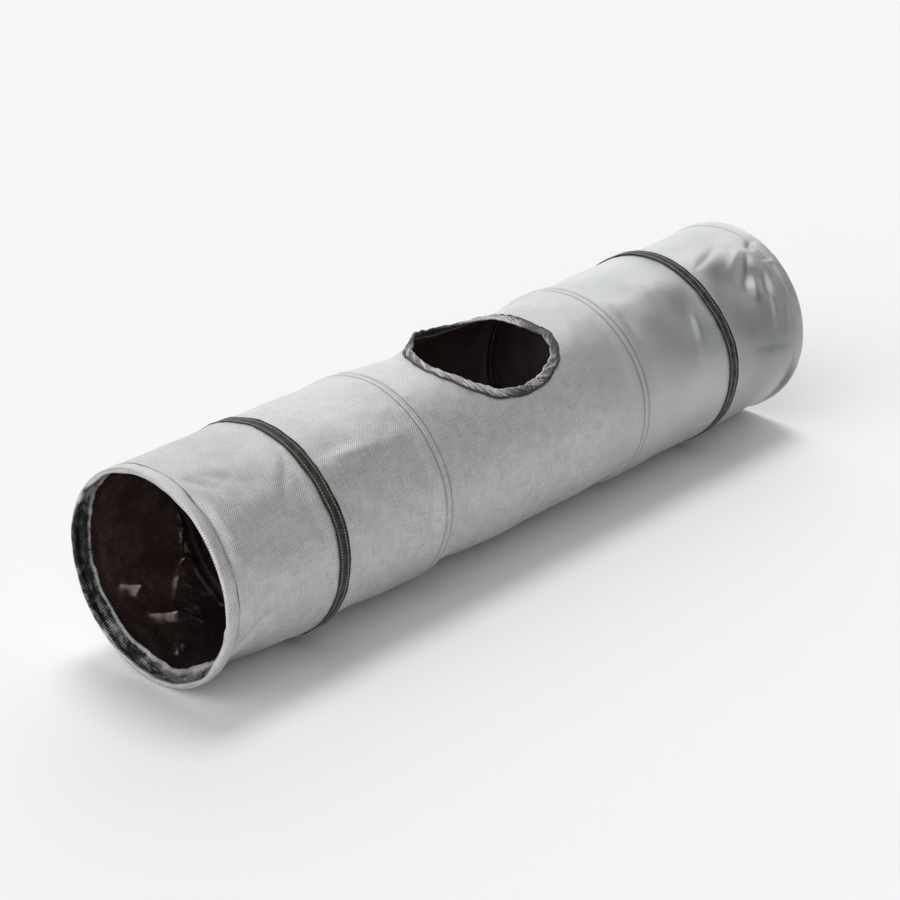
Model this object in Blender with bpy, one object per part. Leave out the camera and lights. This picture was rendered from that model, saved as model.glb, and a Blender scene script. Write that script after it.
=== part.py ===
"""A collapsible crinkle tunnel for a small pet, lying on the floor.

Six spring wire hoops hold a cloth tube open. Five outer panels and five crinkly linings
join at the hoops, each end hoop sits in a turned hem, each inner hoop in a sewn casing,
and two of the seams wear a dark tape. The middle panel has a bound peep hole.
Metres, +Z up, the tunnel along X with its front at -X. The floor is z = 0 and the
origin is on the floor under the middle.
"""

import math

import bmesh
import bpy
from mathutils import Vector

# Overall size
TUNNEL_RADIUS = 0.150          # over the tapes, where the tunnel touches the floor
FRONT_RIM_TO_TAPE = 0.197      # from the front rim to the first taped hoop
FRONT_TAPE_TO_SEAM = 0.202
SEAM_TO_SEAM = 0.418           # the long middle bay with the peep hole
REAR_SEAM_TO_TAPE = 0.202
REAR_TAPE_TO_RIM = 0.181

# Cloth
GAP = 0.0003                   # clear space kept between neighbouring pieces
TAPE_THICKNESS = 0.0007
SHELL_THICKNESS = 0.0010
LINING_THICKNESS = 0.0008
CASING_THICKNESS = 0.0008
TAPE_WIDTH = 0.020
SEAM_CASING_FLANGE = 0.0029    # each side of a plain seam's hoop channel
HEM_OUTER_DEPTH = 0.020        # from the rim to the hem's stitch line, outside
HEM_TURN_PAST = 0.009          # how far the turned-in cloth runs past that line, inside
HEM_ROUND = 0.0006             # the rim's rounded corners

# Hoops
WIRE_DIAMETER = 0.0025
WIRE_END_GAP = 0.0010          # between the butted ends, inside the crimp
CRIMP_LENGTH = 0.016
CRIMP_WALL = 0.0005
CRIMP_CLEARANCE = 0.0001

# Peep hole, laid out flat on the cloth
HOLE_CLEAR_RADIUS = 0.104
BINDING_WIDTH = 0.016
BINDING_THICKNESS = 0.0008
HOLE_FROM_SEAM = 0.199         # from the front plain seam to the hole's middle
HOLE_TURN = 0.018              # along the cloth, from the top of the tunnel towards -Y
CUT_OVERRUN = 0.030            # how far a cutter runs past what it cuts

# Folds of the two end panels
FRONT_FOLD_DEPTH = 0.004
REAR_FOLD_DEPTH = 0.006
FRONT_FOLD_COUNT = 5
REAR_FOLD_COUNT = 7
FRONT_FOLD_PHASE = 0.4         # radians
REAR_FOLD_PHASE = 1.1
FOLD_STATION_SHARES = (0.33, 0.67)
FOLD_MEAN_SHARE = 0.55         # how much of the depth the panel sinks all round

# Facets
SEGMENTS = 32                  # a flat facet lies at the bottom, so the tunnel rests on it
WIRE_SIDES = 6
CRIMP_SIDES = 8
HOLE_POINTS = 40
LOW_CRIMP_FACET = 18           # counted from the top; alternate hoops use the other one,
HIGH_CRIMP_FACET = 21          # so that the crimps don't pile up when the tunnel is flat
SMOOTH_ANGLE = math.radians(30)

# Radii, each measured to the flats
STEP = 2 * math.pi / SEGMENTS
SHELL_OUTER = TUNNEL_RADIUS - TAPE_THICKNESS - GAP
SHELL_INNER = SHELL_OUTER - SHELL_THICKNESS
LINING_OUTER = SHELL_INNER - GAP
LINING_INNER = LINING_OUTER - LINING_THICKNESS
FLANGE_OUTER = LINING_INNER - GAP
CRIMP_BORE = WIRE_DIAMETER / 2 + CRIMP_CLEARANCE
CRIMP_RADIUS = CRIMP_BORE + CRIMP_WALL
CRIMP_REACH = CRIMP_RADIUS / math.cos(math.pi / CRIMP_SIDES)
HOOP_RADIUS = SHELL_INNER - GAP - CRIMP_REACH
POCKET_HALF = CRIMP_REACH + GAP
POCKET_RADIUS = HOOP_RADIUS - POCKET_HALF
POCKET_WALL = POCKET_HALF + CASING_THICKNESS

# Places along X
HEM_INNER_DEPTH = HEM_OUTER_DEPTH + HEM_TURN_PAST
TAPED_CASING_HALF = TAPE_WIDTH / 2                      # sewn by the tape's own two rows
SEAM_CASING_HALF = POCKET_WALL + SEAM_CASING_FLANGE
HOOP_INSET = SHELL_THICKNESS + POCKET_HALF              # an end hoop's plane, from its rim
POCKET_END = HOOP_INSET + POCKET_HALF
TUNNEL_LENGTH = (
    FRONT_RIM_TO_TAPE + FRONT_TAPE_TO_SEAM + SEAM_TO_SEAM + REAR_SEAM_TO_TAPE + REAR_TAPE_TO_RIM
)
FRONT_RIM_X = -TUNNEL_LENGTH / 2
FRONT_TAPE_X = FRONT_RIM_X + FRONT_RIM_TO_TAPE
FRONT_SEAM_X = FRONT_TAPE_X + FRONT_TAPE_TO_SEAM
REAR_SEAM_X = FRONT_SEAM_X + SEAM_TO_SEAM
REAR_TAPE_X = REAR_SEAM_X + REAR_SEAM_TO_TAPE
REAR_RIM_X = REAR_TAPE_X + REAR_TAPE_TO_RIM

COLOURS = {
    "silver cloth": ((0.50, 0.50, 0.49, 1), 0.55, 0.0),
    "crinkle lining": ((0.035, 0.018, 0.017, 1), 0.30, 0.0),
    "dark tape": ((0.045, 0.047, 0.040, 1), 0.80, 0.0),
    "grey binding": ((0.085, 0.085, 0.080, 1), 0.80, 0.0),
    "casing cloth": ((0.040, 0.024, 0.022, 1), 0.60, 0.0),
    "spring steel": ((0.46, 0.46, 0.47, 1), 0.32, 1.0),
    "crimp steel": ((0.58, 0.57, 0.55, 1), 0.40, 1.0),
}


def make_material(name):
    colour, roughness, metallic = COLOURS[name]
    material = bpy.data.materials.new(name)
    material.use_nodes = True
    shader = material.node_tree.nodes["Principled BSDF"]
    shader.inputs["Base Color"].default_value = colour
    shader.inputs["Roughness"].default_value = roughness
    shader.inputs["Metallic"].default_value = metallic
    material.diffuse_color = colour
    return material


def make_ring_empty(name, x):
    """The frame of one hoop, on the tunnel's axis, along which it slides."""
    empty = bpy.data.objects.new(name, None)
    empty.location = (x, 0, TUNNEL_RADIUS)
    bpy.context.scene.collection.objects.link(empty)
    return empty


def make_object(name, bm, material, parent):
    bmesh.ops.recalc_face_normals(bm, faces=bm.faces)
    mesh = bpy.data.meshes.new(name)
    bm.to_mesh(mesh)
    bm.free()
    mesh.shade_smooth()
    mesh.set_sharp_from_angle(angle=SMOOTH_ANGLE)
    mesh.materials.append(material)
    thing = bpy.data.objects.new(name, mesh)
    bpy.context.scene.collection.objects.link(thing)
    thing.parent = parent
    return thing


def corner(x, radius, index):
    """A corner of the faceted tube, between two facets; radius is to the flats."""
    angle = (index + 1 / 2) * STEP
    reach = radius / math.cos(STEP / 2)
    return Vector((x, -reach * math.sin(angle), reach * math.cos(angle)))


def on_facet(x, radius, facet, along):
    """A point on one facet, a length along it from the facet's middle."""
    angle = facet * STEP
    outward = Vector((0, -math.sin(angle), math.cos(angle)))
    forward = Vector((0, -math.cos(angle), -math.sin(angle)))
    return Vector((x, 0, 0)) + outward * radius + forward * along


def bridge(bm, loops, closed, folded=False):
    """Faces between successive loops of points, and end caps where the run is open.

    Folded cloth is split so that both its faces bend along the same lines.
    """
    rings = [[bm.verts.new(point) for point in loop] for loop in loops]
    pairs = list(zip(rings, rings[1:]))
    if closed:
        pairs.append((rings[-1], rings[0]))
    for first, second in pairs:
        for i in range(len(first)):
            j = (i + 1) % len(first)
            if not folded:
                bm.faces.new((first[i], first[j], second[j], second[i]))
            elif first[i].co.x < first[j].co.x:
                bm.faces.new((first[i], first[j], second[j]))
                bm.faces.new((first[i], second[j], second[i]))
            else:
                bm.faces.new((first[i], first[j], second[i]))
                bm.faces.new((first[j], second[j], second[i]))
    if not closed:
        bm.faces.new(rings[0])
        bm.faces.new(reversed(rings[-1]))


def make_band(name, profile, material, parent, sink=None):
    """A closed ring whose section is the profile of (x, radius) points."""
    bm = bmesh.new()
    loops = []
    for index in range(SEGMENTS):
        angle = (index + 1 / 2) * STEP
        loop = []
        for x, radius in profile:
            drop = sink(x, angle) if sink else 0
            loop.append(corner(x, radius - drop, index))
        loops.append(loop)
    bridge(bm, loops, closed=True, folded=sink is not None)
    return make_object(name, bm, material, parent)


def wall_profile(stations, outer, thickness):
    """The section of a tube wall that has a loop of corners at each station along X."""
    outside = [(x, outer) for x in stations]
    inside = [(x, outer - thickness) for x in reversed(stations)]
    return outside + inside


def fold_sink(low, high, depth, count, phase):
    """Long soft folds between two places along X: how far the cloth sinks at a point."""
    marks = [low] + [low + (high - low) * share for share in FOLD_STATION_SHARES] + [high]

    def sink(x, angle):
        wave = FOLD_MEAN_SHARE + (1 - FOLD_MEAN_SHARE) * math.cos(count * angle + phase)
        depths = [depth * wave * math.sin(math.pi * (m - low) / (high - low)) for m in marks]
        for (a, b), (first, second) in zip(zip(marks, marks[1:]), zip(depths, depths[1:])):
            if a <= x <= b:
                return first + (second - first) * (x - a) / (b - a)
        return 0

    return marks, sink


def make_bay(names, shell_span, lining_span, parent, folds=None):
    """An outer panel and its lining. Spans are measured from the parent hoop's place."""
    marks, sink = folds if folds else ([], None)
    panel = make_band(
        names[0],
        wall_profile([shell_span[0], *marks, shell_span[1]], SHELL_OUTER, SHELL_THICKNESS),
        silver_cloth,
        parent,
        sink,
    )
    lining = make_band(
        names[1],
        wall_profile([lining_span[0], *marks, lining_span[1]], LINING_OUTER, LINING_THICKNESS),
        crinkle_lining,
        parent,
        sink,
    )
    return panel, lining


def make_tape(name, parent):
    half = TAPE_WIDTH / 2
    make_band(
        name, wall_profile([-half, half], TUNNEL_RADIUS, TAPE_THICKNESS), dark_tape, parent
    )


def make_casing(name, half, parent):
    """A strip sewn over the lining at both edges, with a channel for the hoop."""
    flange_inner = FLANGE_OUTER - CASING_THICKNESS
    crown_inner = POCKET_RADIUS - CASING_THICKNESS
    profile = [
        (-half, FLANGE_OUTER),
        (-POCKET_HALF, FLANGE_OUTER),
        (-POCKET_HALF, POCKET_RADIUS),
        (POCKET_HALF, POCKET_RADIUS),
        (POCKET_HALF, FLANGE_OUTER),
        (half, FLANGE_OUTER),
        (half, flange_inner),
        (POCKET_WALL, flange_inner),
        (POCKET_WALL, crown_inner),
        (-POCKET_WALL, crown_inner),
        (-POCKET_WALL, flange_inner),
        (-half, flange_inner),
    ]
    make_band(name, profile, casing_cloth, parent)


def make_hem(name, parent, way):
    """The outer cloth turned in round an end hoop; way is 1 at the front, -1 at the rear."""
    crown_inner = POCKET_RADIUS - SHELL_THICKNESS
    leg_inner = FLANGE_OUTER - SHELL_THICKNESS
    profile = [
        (HEM_OUTER_DEPTH, SHELL_OUTER),
        (HEM_ROUND, SHELL_OUTER),
        (0, SHELL_OUTER - HEM_ROUND),
        (0, crown_inner + HEM_ROUND),
        (HEM_ROUND, crown_inner),
        (POCKET_END + SHELL_THICKNESS, crown_inner),
        (POCKET_END + SHELL_THICKNESS, leg_inner),
        (HEM_INNER_DEPTH, leg_inner),
        (HEM_INNER_DEPTH, FLANGE_OUTER),
        (POCKET_END, FLANGE_OUTER),
        (POCKET_END, POCKET_RADIUS),
        (SHELL_THICKNESS, POCKET_RADIUS),
        (SHELL_THICKNESS, SHELL_INNER),
        (HEM_OUTER_DEPTH, SHELL_INNER),
    ]
    make_band(name, [(way * x, radius) for x, radius in profile], silver_cloth, parent)


def make_hoop(name, x, facet, parent):
    """An open wire ring whose two ends butt together in the middle of one facet."""
    bm = bmesh.new()
    section = []
    for side in range(WIRE_SIDES):
        turn = 2 * math.pi * side / WIRE_SIDES
        section.append((math.cos(turn) * WIRE_DIAMETER / 2, math.sin(turn) * WIRE_DIAMETER / 2))
    loops = [[on_facet(x + dx, HOOP_RADIUS + dr, facet, WIRE_END_GAP / 2) for dx, dr in section]]
    for index in range(facet, facet + SEGMENTS):
        loops.append([corner(x + dx, HOOP_RADIUS + dr, index) for dx, dr in section])
    loops.append(
        [on_facet(x + dx, HOOP_RADIUS + dr, facet, -WIRE_END_GAP / 2) for dx, dr in section]
    )
    bridge(bm, loops, closed=False)
    make_object(name, bm, spring_steel, parent)


def make_crimp(name, x, facet, parent):
    """A straight steel sleeve over the butted ends of a hoop."""
    bm = bmesh.new()
    loops = []
    for side in range(CRIMP_SIDES):
        turn = 2 * math.pi * (side + 1 / 2) / CRIMP_SIDES
        loop = []
        for radius, along in (
            (CRIMP_RADIUS, -CRIMP_LENGTH / 2),
            (CRIMP_RADIUS, CRIMP_LENGTH / 2),
            (CRIMP_BORE, CRIMP_LENGTH / 2),
            (CRIMP_BORE, -CRIMP_LENGTH / 2),
        ):
            reach = radius / math.cos(math.pi / CRIMP_SIDES)
            dx, dr = reach * math.cos(turn), reach * math.sin(turn)
            loop.append(on_facet(x + dx, HOOP_RADIUS + dr, facet, along))
        loops.append(loop)
    bridge(bm, loops, closed=True)
    make_object(name, bm, crimp_steel, parent)


def make_hole_plug(name, radius, parent):
    """A cutter: the peep hole's outline on the cloth, carried straight in and out."""
    bm = bmesh.new()
    inside, outside = [], []
    for i in range(HOLE_POINTS):
        turn = 2 * math.pi * i / HOLE_POINTS
        x = HOLE_FROM_SEAM + radius * math.cos(turn)
        angle = (HOLE_TURN + radius * math.sin(turn)) / SHELL_OUTER
        ray = Vector((0, -math.sin(angle), math.cos(angle)))
        inside.append(bm.verts.new(Vector((x, 0, 0)) + ray * (POCKET_RADIUS - CUT_OVERRUN)))
        outside.append(bm.verts.new(Vector((x, 0, 0)) + ray * (TUNNEL_RADIUS + CUT_OVERRUN)))
    angle = HOLE_TURN / SHELL_OUTER
    ray = Vector((0, -math.sin(angle), math.cos(angle)))
    middle = Vector((HOLE_FROM_SEAM, 0, 0))
    floor = bm.verts.new(middle + ray * (POCKET_RADIUS - CUT_OVERRUN))
    roof = bm.verts.new(middle + ray * (TUNNEL_RADIUS + CUT_OVERRUN))
    for i in range(HOLE_POINTS):
        j = (i + 1) % HOLE_POINTS
        bm.faces.new((inside[i], outside[i], outside[j]))
        bm.faces.new((inside[i], outside[j], inside[j]))
        bm.faces.new((inside[j], floor, inside[i]))
        bm.faces.new((outside[i], roof, outside[j]))
    return hide_cutter(make_object(name, bm, grey_binding, parent))


def hide_cutter(cutter):
    cutter.hide_render = True
    cutter.display_type = "WIRE"
    return cutter


def boolean(thing, operation, cutter):
    modifier = thing.modifiers.new(operation.lower() + " " + cutter.name, "BOOLEAN")
    modifier.operation = operation
    modifier.object = cutter


def make_peep_hole(panel, lining, parent):
    """Cuts the hole through both cloths and binds its edge with a folded strip."""
    web_radius = HOLE_CLEAR_RADIUS + BINDING_THICKNESS
    clear_plug = make_hole_plug("clear hole cutter", HOLE_CLEAR_RADIUS, parent)
    web_plug = make_hole_plug("web cutter", web_radius, parent)
    cloth_plug = make_hole_plug("cloth cutter", web_radius + GAP, parent)
    binding_plug = make_hole_plug("binding cutter", HOLE_CLEAR_RADIUS + BINDING_WIDTH, parent)
    boolean(panel, "DIFFERENCE", cloth_plug)
    boolean(lining, "DIFFERENCE", cloth_plug)
    reach = HOLE_CLEAR_RADIUS + BINDING_WIDTH + CUT_OVERRUN
    span = [HOLE_FROM_SEAM - reach, HOLE_FROM_SEAM + reach]
    slot_outer = SHELL_OUTER + GAP
    slot = make_band(
        "binding slot cutter",
        wall_profile(span, slot_outer, slot_outer - FLANGE_OUTER),
        grey_binding,
        parent,
    )
    boolean(hide_cutter(slot), "DIFFERENCE", web_plug)
    outer = slot_outer + BINDING_THICKNESS
    inner = FLANGE_OUTER - BINDING_THICKNESS
    inset = CUT_OVERRUN / 2
    binding = make_band(
        "peep_hole_binding",
        wall_profile([span[0] + inset, span[1] - inset], outer, outer - inner),
        grey_binding,
        parent,
    )
    boolean(binding, "INTERSECT", binding_plug)
    boolean(binding, "DIFFERENCE", clear_plug)
    boolean(binding, "DIFFERENCE", slot)


for old in list(bpy.data.objects):
    bpy.data.objects.remove(old)

silver_cloth = make_material("silver cloth")
crinkle_lining = make_material("crinkle lining")
dark_tape = make_material("dark tape")
grey_binding = make_material("grey binding")
casing_cloth = make_material("casing cloth")
spring_steel = make_material("spring steel")
crimp_steel = make_material("crimp steel")

front_end = make_ring_empty("front end", FRONT_RIM_X)
front_tape = make_ring_empty("front tape", FRONT_TAPE_X)
front_seam = make_ring_empty("front seam", FRONT_SEAM_X)
rear_seam = make_ring_empty("rear seam", REAR_SEAM_X)
rear_tape = make_ring_empty("rear tape", REAR_TAPE_X)
rear_end = make_ring_empty("rear end", REAR_RIM_X)

# The front end
make_hem("front_hem", front_end, 1)
make_hoop("front_end_hoop", HOOP_INSET, LOW_CRIMP_FACET, front_end)
make_crimp("front_end_crimp", HOOP_INSET, LOW_CRIMP_FACET, front_end)
make_bay(
    ("front_end_panel", "front_end_lining"),
    (HEM_OUTER_DEPTH + GAP, FRONT_RIM_TO_TAPE - GAP / 2),
    (POCKET_END, FRONT_RIM_TO_TAPE - POCKET_HALF),
    front_end,
    fold_sink(
        HEM_INNER_DEPTH + GAP,
        FRONT_RIM_TO_TAPE - TAPED_CASING_HALF - GAP,
        FRONT_FOLD_DEPTH,
        FRONT_FOLD_COUNT,
        FRONT_FOLD_PHASE,
    ),
)

# The two taped hoops
make_tape("front_tape", front_tape)
make_casing("front_tape_casing", TAPED_CASING_HALF, front_tape)
make_hoop("front_tape_hoop", 0, HIGH_CRIMP_FACET, front_tape)
make_crimp("front_tape_crimp", 0, HIGH_CRIMP_FACET, front_tape)
make_bay(
    ("front_panel", "front_lining"),
    (GAP / 2, FRONT_TAPE_TO_SEAM - GAP / 2),
    (POCKET_HALF, FRONT_TAPE_TO_SEAM - POCKET_HALF),
    front_tape,
)
make_tape("rear_tape", rear_tape)
make_casing("rear_tape_casing", TAPED_CASING_HALF, rear_tape)
make_hoop("rear_tape_hoop", 0, LOW_CRIMP_FACET, rear_tape)
make_crimp("rear_tape_crimp", 0, LOW_CRIMP_FACET, rear_tape)
make_bay(
    ("rear_end_panel", "rear_end_lining"),
    (GAP / 2, REAR_TAPE_TO_RIM - HEM_OUTER_DEPTH - GAP),
    (POCKET_HALF, REAR_TAPE_TO_RIM - POCKET_END),
    rear_tape,
    fold_sink(
        TAPED_CASING_HALF + GAP,
        REAR_TAPE_TO_RIM - HEM_INNER_DEPTH - GAP,
        REAR_FOLD_DEPTH,
        REAR_FOLD_COUNT,
        REAR_FOLD_PHASE,
    ),
)

# The two plain seams
make_casing("front_seam_casing", SEAM_CASING_HALF, front_seam)
make_hoop("front_seam_hoop", 0, LOW_CRIMP_FACET, front_seam)
make_crimp("front_seam_crimp", 0, LOW_CRIMP_FACET, front_seam)
middle_panel, middle_lining = make_bay(
    ("middle_panel", "middle_lining"),
    (GAP / 2, SEAM_TO_SEAM - GAP / 2),
    (POCKET_HALF, SEAM_TO_SEAM - POCKET_HALF),
    front_seam,
)
make_peep_hole(middle_panel, middle_lining, front_seam)
make_casing("rear_seam_casing", SEAM_CASING_HALF, rear_seam)
make_hoop("rear_seam_hoop", 0, HIGH_CRIMP_FACET, rear_seam)
make_crimp("rear_seam_crimp", 0, HIGH_CRIMP_FACET, rear_seam)
make_bay(
    ("rear_panel", "rear_lining"),
    (GAP / 2, REAR_SEAM_TO_TAPE - GAP / 2),
    (POCKET_HALF, REAR_SEAM_TO_TAPE - POCKET_HALF),
    rear_seam,
)

# The rear end
make_hem("rear_hem", rear_end, -1)
make_hoop("rear_end_hoop", -HOOP_INSET, HIGH_CRIMP_FACET, rear_end)
make_crimp("rear_end_crimp", -HOOP_INSET, HIGH_CRIMP_FACET, rear_end)
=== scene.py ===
import math

import bpy
import numpy as np
from mathutils import Matrix, Vector, noise
from mathutils.bvhtree import BVHTree
from mathutils.geometry import delaunay_2d_cdt


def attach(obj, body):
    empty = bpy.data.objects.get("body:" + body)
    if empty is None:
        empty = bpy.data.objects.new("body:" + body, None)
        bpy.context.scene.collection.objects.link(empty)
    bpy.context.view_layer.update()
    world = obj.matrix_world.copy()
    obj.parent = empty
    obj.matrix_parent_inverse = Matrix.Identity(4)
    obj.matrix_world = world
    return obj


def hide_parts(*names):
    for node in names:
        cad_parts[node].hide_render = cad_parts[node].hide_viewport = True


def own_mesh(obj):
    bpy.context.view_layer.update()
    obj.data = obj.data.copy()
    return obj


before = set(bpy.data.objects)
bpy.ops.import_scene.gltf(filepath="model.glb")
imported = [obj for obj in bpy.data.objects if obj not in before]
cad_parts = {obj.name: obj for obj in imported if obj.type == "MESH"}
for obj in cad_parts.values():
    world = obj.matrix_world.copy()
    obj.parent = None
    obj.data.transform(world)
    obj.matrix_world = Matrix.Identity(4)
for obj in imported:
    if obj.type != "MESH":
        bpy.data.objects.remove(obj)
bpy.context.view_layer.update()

# A collapsible crinkle tunnel for a pet. Metres. The tunnel runs along X, front at -X, floor at z = 0.
# A place on the cloth is x and a turn in radians from the top towards -Y, the side the camera sees.
# The long tables of the cloth's form are in millimetres and degrees.

tunnel = {
    "axisHeight": 0.15,
    "clothOuter": 0.149,  # outer face of the silver cloth at the hoops
    "clothThick": 0.0006,
    "liningDrop": 0.0014,  # from the cloth's outer face in to the lining's outer face
    "liningThick": 0.0004,
    "arcRadius": 0.1495,  # the radius at which the cloth is measured flat
    "floorReach": 0.14995,  # the furthest that cloth goes from the axis where it lies on the floor
    "frontRim": -0.6, "frontTape": -0.403, "frontSeam": -0.201,
    "rearSeam": 0.217, "rearTape": 0.419, "rearRim": 0.6,
}
girth = 2 * math.pi * tunnel["arcRadius"]
# each ring by the word its bodies and nodes start with
rings = {"frontRim": "front_end", "frontTape": "front_tape", "frontSeam": "front_seam",
         "rearSeam": "rear_seam", "rearTape": "rear_tape", "rearRim": "rear_end"}


def bodyOf(ring):
    return rings[ring] if "Rim" in ring else rings[ring] + "_ring"


# small helpers

def letGo():  # nothing stays selected, so an operator acts on its own piece alone
    if bpy.context.object and bpy.context.object.mode != "OBJECT":
        bpy.ops.object.mode_set(mode="OBJECT")
    bpy.ops.object.select_all(action="DESELECT")


def pick(piece):
    letGo()
    piece.select_set(True)
    bpy.context.view_layer.objects.active = piece


def applyModifier(piece, kind, **settings):
    pick(piece)
    added = piece.modifiers.new(kind.title(), kind)
    for name, value in settings.items():
        setattr(added, name, value)
    bpy.ops.object.modifier_apply(modifier=added.name)


def inEditMode(piece, act, kind=None, chosen=None):
    # one step on the whole piece, or on the edges or faces that chosen picks
    pick(piece)
    bpy.ops.object.mode_set(mode="EDIT")
    if kind:
        bpy.ops.mesh.select_mode(type=kind)
        bpy.ops.mesh.select_all(action="DESELECT")
        bpy.ops.object.mode_set(mode="OBJECT")
        for part in piece.data.edges if kind == "EDGE" else piece.data.polygons:
            part.select = chosen(part)
        bpy.ops.object.mode_set(mode="EDIT")
    else:
        bpy.ops.mesh.select_all(action="SELECT")
    act()
    bpy.ops.object.mode_set(mode="OBJECT")


def cutAcross(piece, length, cuts):  # new rings of edges across a cylinder that lies along X
    def runsAlong(edge):
        a, b = (piece.data.vertices[i].co.x for i in edge.vertices)
        return abs(a - b) > length / 2
    inEditMode(piece, lambda: bpy.ops.mesh.subdivide(number_cuts=cuts), "EDGE", runsAlong)


def faceOut(piece):
    inEditMode(piece, lambda: bpy.ops.mesh.normals_make_consistent(inside=False))


def readAll(items, what, kind=int, each=1):
    flat = np.empty(len(items) * each, kind)
    items.foreach_get(what, flat)
    return flat


def readSpots(piece):
    return readAll(piece.data.vertices, "co", float, 3).reshape(-1, 3)


def writeSpots(piece, spots):
    piece.data.vertices.foreach_set("co", np.asarray(spots, np.float32).ravel())
    piece.data.update()


def settle(name):  # the primitive just added gets its name, and its place goes into its mesh
    piece = bpy.context.object
    piece.name = piece.data.name = name
    bpy.ops.object.transform_apply(location=True, rotation=True, scale=True)
    return piece


def openTube(name, stations, radius, around):
    # a cylinder with open ends, cut into rings that then slide to their stations along X
    letGo()
    stations = sorted(stations)
    low, high = stations[0], stations[-1]
    bpy.ops.mesh.primitive_cylinder_add(
        vertices=around, radius=radius, depth=high - low, end_fill_type="NOTHING",
        location=((low + high) / 2, 0, tunnel["axisHeight"]), rotation=(0, math.pi / 2, 0))
    tube = settle(name)
    cutAcross(tube, high - low, len(stations) - 2)
    spots = readSpots(tube)
    share = (spots[:, 0] - low) / (high - low) * (len(stations) - 1)
    spots[:, 0] = np.interp(share, range(len(stations)), stations)
    writeSpots(tube, spots)
    return tube


def layOut(piece):  # each point's x and turn
    spots = readSpots(piece)
    return spots[:, 0].copy(), np.arctan2(-spots[:, 1], spots[:, 2] - tunnel["axisHeight"])


def outwards(turn):  # the way from the axis to a place on the cloth
    return np.stack([0 * turn, -np.sin(turn), np.cos(turn)], -1)


def onRound(x, turn, radius):  # back from x, turn and radius to a place in the room
    return np.stack([x + 0 * turn, -radius * np.sin(turn),
                     tunnel["axisHeight"] + radius * np.cos(turn)], -1)


def layCloth(piece):  # a flat map in metres, x along the tunnel and the arc round it
    mesh = piece.data
    while mesh.uv_layers:
        mesh.uv_layers.remove(mesh.uv_layers[0])
    layer = mesh.uv_layers.new(name="clothLay")
    x, turn = layOut(piece)
    corners = readAll(mesh.loops, "vertex_index")
    starts, totals = (readAll(mesh.polygons, what) for what in ("loop_start", "loop_total"))
    first = np.repeat(turn[corners[starts]], totals)
    arc = turn[corners]
    arc = arc - 2 * np.pi * np.round((arc - first) / (2 * np.pi))
    flat = np.stack([x[corners], arc * tunnel["arcRadius"]], -1)
    layer.data.foreach_set("uv", flat.astype(np.float32).ravel())


def paintOn(piece, name, values):
    layer = piece.data.attributes.new(name, "FLOAT", "POINT")
    layer.data.foreach_set("value", np.asarray(values, np.float32))


def wander(x, turn, size, seed):  # a soft drift over the cloth from -1 to 1, the same each run
    x, turn = np.broadcast_arrays(x, turn)
    reach = tunnel["arcRadius"] / size
    across, up = reach * np.cos(turn).ravel(), (reach * np.sin(turn)).ravel() + 7.3 * seed
    return np.array([noise.noise(Vector(p)) for p in zip(x.ravel() / size, across, up)]).reshape(x.shape)


def swell(value, low, high):  # 0 below low, 1 above high, eased between
    t = np.clip((value - low) / (high - low), 0, 1)
    return t * t * (3 - 2 * t)


def bell(value, middle, width):  # 1 at the middle, 0 far from it
    return np.exp(-((value - middle) / width) ** 2)


def arcOf(degrees):
    return math.radians(degrees) * tunnel["arcRadius"]


def laidOut(rows, turns=(), plain=()):  # millimetres become metres, and turns become arcs on the cloth
    return [[arcOf(value) if i in turns else value if i in plain else round(value / 1000, 7)
             for i, value in enumerate(row)] for row in rows]


def aroundTable(pairs, unit=1000):  # eased values at named turns in degrees, closed round the tunnel
    degrees = np.array([a for a, _ in pairs], float)
    values = np.tile([round(b / unit, 7) for _, b in pairs], 3)
    degrees = np.concatenate([degrees - 360, degrees, degrees + 360])

    def read(turn):
        t = np.degrees(turn)
        i = np.clip(np.searchsorted(degrees, t) - 1, 0, len(degrees) - 2)
        share = (t - degrees[i]) / (degrees[i + 1] - degrees[i])
        share = share * share * (3 - 2 * share)
        return values[i] * (1 - share) + values[i + 1] * share
    return read


def crumple(low, high, cell, seed):
    # crisp facets between loose points of random height on the laid-out cloth, as in creased film
    maker = np.random.default_rng(seed)
    columns = max(2, round((high - low) / cell))
    rows = round(girth / cell)
    loose = 0.42  # how far a point strays from its cell's middle
    places, heights = [], []
    for i in range(-1, columns + 2):
        for j in range(rows):
            x = low + (i + maker.uniform(-loose, loose)) * (high - low) / columns
            s = (j + i % 2 / 2 + maker.uniform(-loose, loose)) * girth / rows - girth / 2
            height = maker.uniform(0, 1)
            for turnOver in (-girth, 0, girth):
                places.append(Vector((x, s + turnOver)))
                heights.append(height)
    verts, _, faces, origins, _, _ = delaunay_2d_cdt(places, [], [], 0, 1e-7)
    corners = [(v.x, v.y, heights[o[0]]) for v, o in zip(verts, origins)]
    tree = BVHTree.FromPolygons(corners, faces)
    down = Vector((0, 0, -1))

    def read(x, turn):
        out = np.empty(len(x))
        for k, (a, b) in enumerate(zip(x, turn * tunnel["arcRadius"])):
            found = tree.ray_cast(Vector((a, b, 4)), down)[0]
            out[k] = found.z if found else 0.5
        return out
    return read


# the camera, set first from the six hoops in the photograph

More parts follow.
